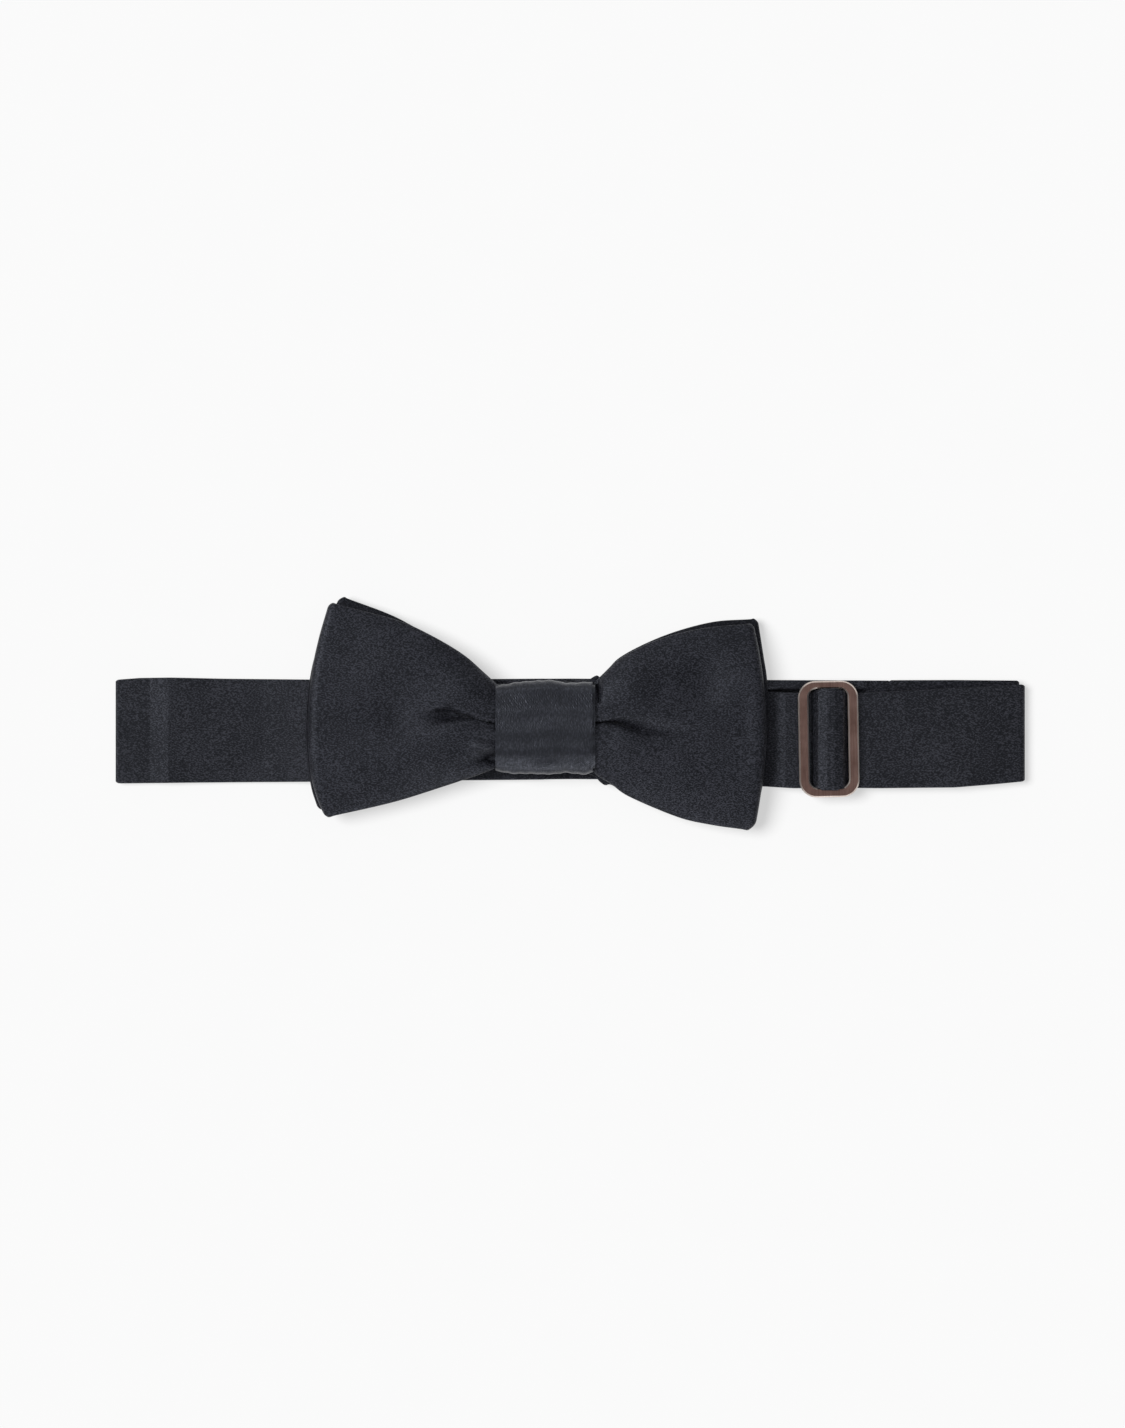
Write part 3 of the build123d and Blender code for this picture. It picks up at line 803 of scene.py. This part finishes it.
hook_loop = ribbon(
    "hook_loop_satin",
    rounded_path([(102.2, BACK_Z), (97.1, BACK_Z), (97.1, TURNED_Z), (102.2, TURNED_Z)], 0.85),
    [(96, -17.0), (99.3, -17.0), (101, -16.6), (103, -16.9)],
    [(96, 5.0), (99.3, 5.0), (101, 7.0), (103, 7.3)],
    band_satin, seed=25,
)
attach(hook_loop, "hook")
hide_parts("strap_hook_turn")

inner_fold = ribbon(
    "inner_strap_fold_satin",
    rounded_path([(100.4, TURNED_Z), (116.6, TURNED_Z), (116.6, INNER_Z), (111.6, INNER_Z)], 0.44),
    INNER_LOW, INNER_TOP, band_reverse, seed=26,
)
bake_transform(inner_fold)
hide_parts("strap_inner_fold", "strap_inner_back_span")

inner_strap = ribbon(
    "inner_strap_satin",
    [(x, INNER_Z) for x in np.arange(77.0, 113.0, 0.6)],
    INNER_LOW, INNER_TOP, band_reverse, seed=27,
)
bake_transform(inner_strap)
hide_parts("strap_inner_face_span")

sewn_end = ribbon(
    "sewn_end_satin",
    rounded_path(
        [
            (78.0, INNER_Z), (SLIDER_X + 4.2, INNER_Z), (SLIDER_X + 1.8, SLIDER_LOW_Z - 0.35),
            (SLIDER_X - 1.8, SLIDER_LOW_Z - 0.35), (SLIDER_X - 1.8, SLIDER_LOW_Z + 1.35),
            (SLIDER_X + 1.8, SLIDER_LOW_Z + 1.35), (SLIDER_X + 1.8, SLIDER_LOW_Z + 0.3),
        ],
        0.3, step=0.3,
    ),
    [(60, -18.2), (80, -18.0)], [(60, 5.1), (80, 5.6)], band_satin, thickness=0.4, seed=28, uneven=0.0,
)
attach(sewn_end, "slider")
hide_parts("strap_sewn_end")


# ---------------------------------------------------------------- metal and thread

SLIDER_Y = -6.5
SLIDER_SIZE = (15.6, 30.2)
SLOT_SIZE = (10.2, 25.8)
SLOT_RISE = 0.2
SLIDER_RADII = (4.5, 2.2)
SLIDER_TILT = math.radians(1)
SLIDER_THICK = 1.4
BEVEL = 0.36
BAR_SIZE = (2.4, 1.0)
CORNER_POINTS = 14
SIDE_POINTS = 10


def rounded_outline(size, radius):
    """Points round a rounded rectangle about the origin, anticlockwise from its lower right corner."""
    half_x, half_y = size[0] / 2, size[1] / 2
    signs = ((1, -1), (1, 1), (-1, 1), (-1, -1))
    middles = [np.array([x * (half_x - radius), y * (half_y - radius)]) for x, y in signs]
    points = []
    for k, middle in enumerate(middles):
        start = (k - 1) * math.pi / 2
        stop = start + math.pi / 2
        for angle in np.linspace(start, stop, CORNER_POINTS):
            points.append(middle + radius * np.array([math.cos(angle), math.sin(angle)]))
        here = points[-1]
        following = middles[(k + 1) % 4] + radius * np.array([math.cos(stop), math.sin(stop)])
        for share in np.linspace(0, 1, SIDE_POINTS + 2)[1:-1]:
            points.append(here * (1 - share) + following * share)
    return np.array(points)


def slider_frame():
    """The flat rounded frame with bevels on its edges, and the bar across its slot. The bevels carry a
    painted highlight: a much lighter copy of the metal.
    """
    outer = rounded_outline(SLIDER_SIZE, SLIDER_RADII[0])
    slot = rounded_outline(SLOT_SIZE, SLIDER_RADII[1]) + np.array([0, SLOT_RISE])
    wall = np.linalg.norm(outer - slot, axis=1)[:, None]
    high_z, low_z = SLIDER_LOW_Z + SLIDER_THICK, SLIDER_LOW_Z
    # Inset from the outer edge, inset from the slot's edge and height. One of the two insets is None
    profile = [
        (0, None, low_z + BEVEL), (0, None, high_z - BEVEL), (BEVEL, None, high_z), (None, BEVEL, high_z),
        (None, 0, high_z - BEVEL), (None, 0, low_z + BEVEL), (None, BEVEL, low_z), (BEVEL, None, low_z),
    ]
    bevels = {1, 3}
    rings = []
    for from_outer, from_slot, z in profile:
        share = from_outer / wall if from_slot is None else 1 - from_slot / wall
        plan = outer * (1 - share) + slot * share
        rings.append(np.column_stack([plan, np.full(len(plan), z)]))
    count = len(outer)
    vertices = np.vstack(rings)
    faces, kinds = [], []
    for k in range(len(profile)):
        a, b = k * count, (k + 1) % len(profile) * count
        for j in range(count):
            i = (j + 1) % count
            faces.append((a + j, a + i, b + i, b + j))
            kinds.append(1 if k in bevels else 0)
    half_x, half_y = BAR_SIZE[0] / 2, SLOT_SIZE[1] / 2 + 0.5
    base = len(vertices)
    corners = [
        (x, y, z) for z in (low_z, low_z + BAR_SIZE[1]) for y in (-half_y, half_y) for x in (-half_x, half_x)
    ]
    vertices = np.vstack([vertices, corners])
    for face in ((0, 2, 3, 1), (4, 5, 7, 6), (0, 1, 5, 4), (2, 6, 7, 3), (0, 4, 6, 2), (1, 3, 7, 5)):
        faces.append(tuple(base + k for k in face))
        kinds.append(0)
    turned = vertices.copy()
    cosine, sine = math.cos(SLIDER_TILT), math.sin(SLIDER_TILT)
    turned[:, 0] = SLIDER_X + vertices[:, 0] * cosine - vertices[:, 1] * sine
    turned[:, 1] = SLIDER_Y + vertices[:, 0] * sine + vertices[:, 1] * cosine
    piece = new_piece("slider_frame", turned, faces, bronze, sharp_angle=30)
    # The bevel faces take the lighter metal, which is a painted highlight
    piece.data.materials.append(bevel_highlight_metal)
    for face, kind in zip(piece.data.polygons, kinds):
        face.material_index = kind
    return piece


slider = slider_frame()
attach(slider, "slider")
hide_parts("slider")

for name, material in (
    ("hook", hook_metal),
    ("eye_ring", hook_metal),
    ("knot_back_stitches", thread),
    ("band_end_stitches", thread),
    ("sewn_end_stitches", thread),
):
    for slot in frame["nodes"][name].material_slots:
        slot.material = material


# ---------------------------------------------------------------- floor, lights and camera

FLOOR_COLOR = (0.12, 0.12, 0.12)
FLOOR_GLOW = 0.586
FLOOR_SIZE = 40
FLOOR_Z = -0.0001
AMBIENT = 0.31
CAMERA_X = -0.00196
CAMERA_HEIGHT = 0.88
CAMERA_LENS = 85


def lit_floor():
    """A white light table: it gives most of its own light, so shadows on it stay faint."""
    material = bpy.data.materials.new("floor_white")
    tree, nodes, links, shader = nodes_of(material)
    grain = add_node(tree, "ShaderNodeTexNoise", Scale=2000.0, Detail=2.0)
    ramp = nodes.new("ShaderNodeValToRGB")
    ramp.color_ramp.elements[0].color = (*[c * 0.98 for c in FLOOR_COLOR], 1)
    ramp.color_ramp.elements[1].color = (*FLOOR_COLOR, 1)
    links.new(grain.outputs["Fac"], ramp.inputs["Fac"])
    links.new(ramp.outputs["Color"], shader.inputs["Base Color"])
    shader.inputs["Roughness"].default_value = 0.9
    shader.inputs["Specular IOR Level"].default_value = 0.1
    shader.inputs["Emission Color"].default_value = (1, 1, 1, 1)
    shader.inputs["Emission Strength"].default_value = FLOOR_GLOW
    return material


def add_sun(name, energy, width_degrees, toward, lit):
    """A sun lamp that shines along toward, on the objects of the collection lit only."""
    lamp = bpy.data.lights.new(name, "SUN")
    lamp.energy = energy
    lamp.angle = math.radians(width_degrees)
    holder = bpy.data.objects.new(name, lamp)
    bpy.context.scene.collection.objects.link(holder)
    holder.rotation_euler = Vector(toward).to_track_quat("-Z", "Y").to_euler()
    holder.light_linking.receiver_collection = lit


bpy.ops.mesh.primitive_plane_add(size=FLOOR_SIZE, location=(0, 0, FLOOR_Z))
floor = bpy.context.object
floor.name = "floor"
floor.data.materials.append(lit_floor())

tie_only = bpy.data.collections.new("tie_only")
floor_only = bpy.data.collections.new("floor_only")
for thing in bpy.context.scene.objects:
    if thing.type == "MESH":
        (floor_only if thing is floor else tie_only).objects.link(thing)

world = bpy.data.worlds.new("studio")
bpy.context.scene.world = world
world.use_nodes = True
world.node_tree.nodes["Background"].inputs["Color"].default_value = (1, 1, 1, 1)
world.node_tree.nodes["Background"].inputs["Strength"].default_value = AMBIENT

# The floor has a sun of its own, because its shadows would be too faint under the tie's lights
SUNS = [
    ("key", 2.02, 24, (0.66, -0.20, -0.73), tie_only),
    ("overhead", 0.18, 22, (0.06, -0.08, -1.0), tie_only),
    ("low_side", 1.2, 34, (-0.1, 0.86, -0.5), tie_only),
    ("high_side", 0.4, 34, (0.1, -0.86, -0.5), tie_only),
    ("table_key", 10.4, 32, (0.66, -0.14, -1.0), floor_only),
]
for sun in SUNS:
    add_sun(*sun)

camera = bpy.data.cameras.new("camera")
camera.lens = CAMERA_LENS
camera_object = bpy.data.objects.new("camera", camera)
bpy.context.scene.collection.objects.link(camera_object)
camera_object.location = (CAMERA_X, 0, CAMERA_HEIGHT)
bpy.context.scene.camera = camera_object
bpy.context.scene.view_settings.view_transform = "Standard"
